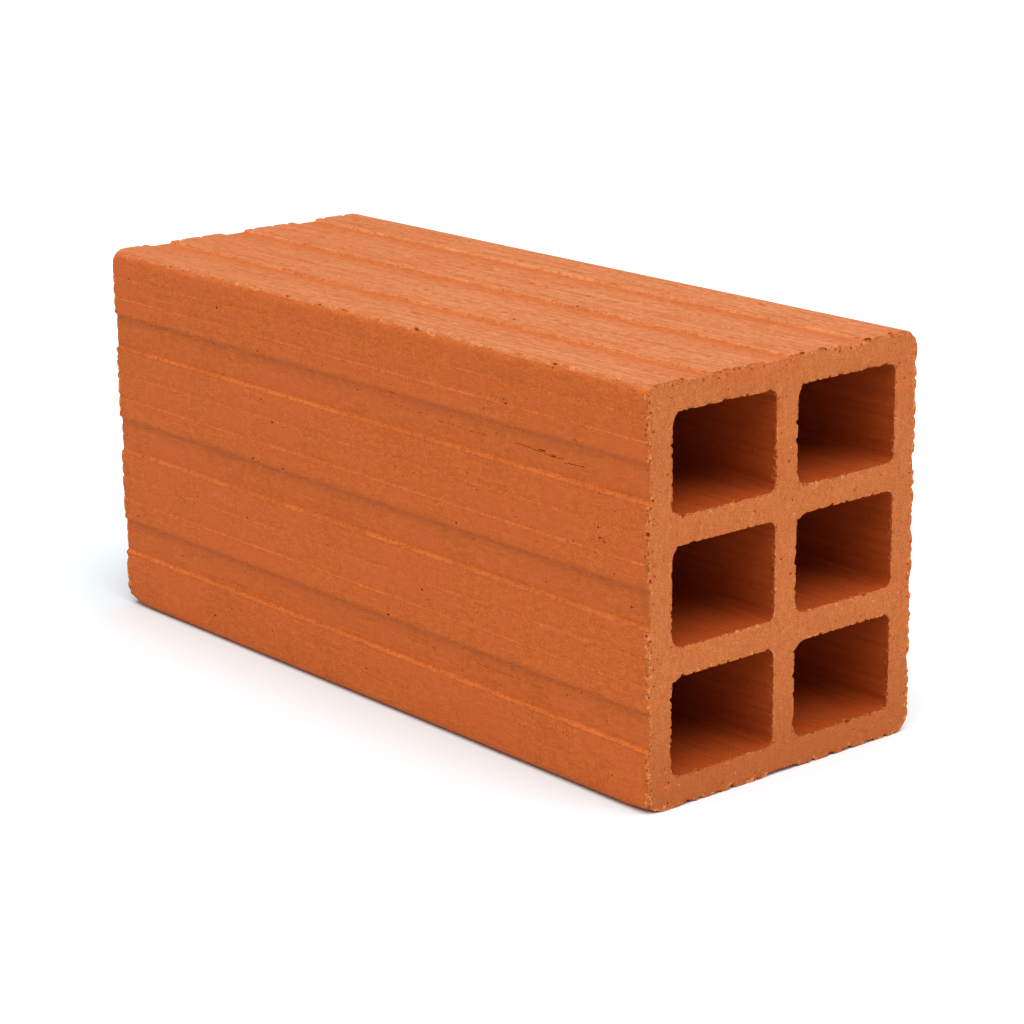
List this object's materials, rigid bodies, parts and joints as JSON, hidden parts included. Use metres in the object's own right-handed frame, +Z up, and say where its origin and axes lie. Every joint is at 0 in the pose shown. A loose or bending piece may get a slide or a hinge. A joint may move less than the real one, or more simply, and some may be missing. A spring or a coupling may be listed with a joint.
{
  "type": "hollow clay brick",
  "caption": "Fired clay partition brick, extruded with rectangular cells running end to end, round long corners and shallow grooves that key the mortar.",
  "frame": {"origin": "middle of the lower bed, on the surface that the brick stands on", "axes": "+X along the cells, out of the end face that is seen; -Y is the front long face; +Z up, out of the upper bed"},
  "size_m": [0.225, 0.09, 0.105],
  "materials": {
    "fired_clay": "matte, sandy, unglazed terracotta"
  },
  "bodies": {
    "root": {"brick": "fired_clay"}
  },
  "joints": []
}
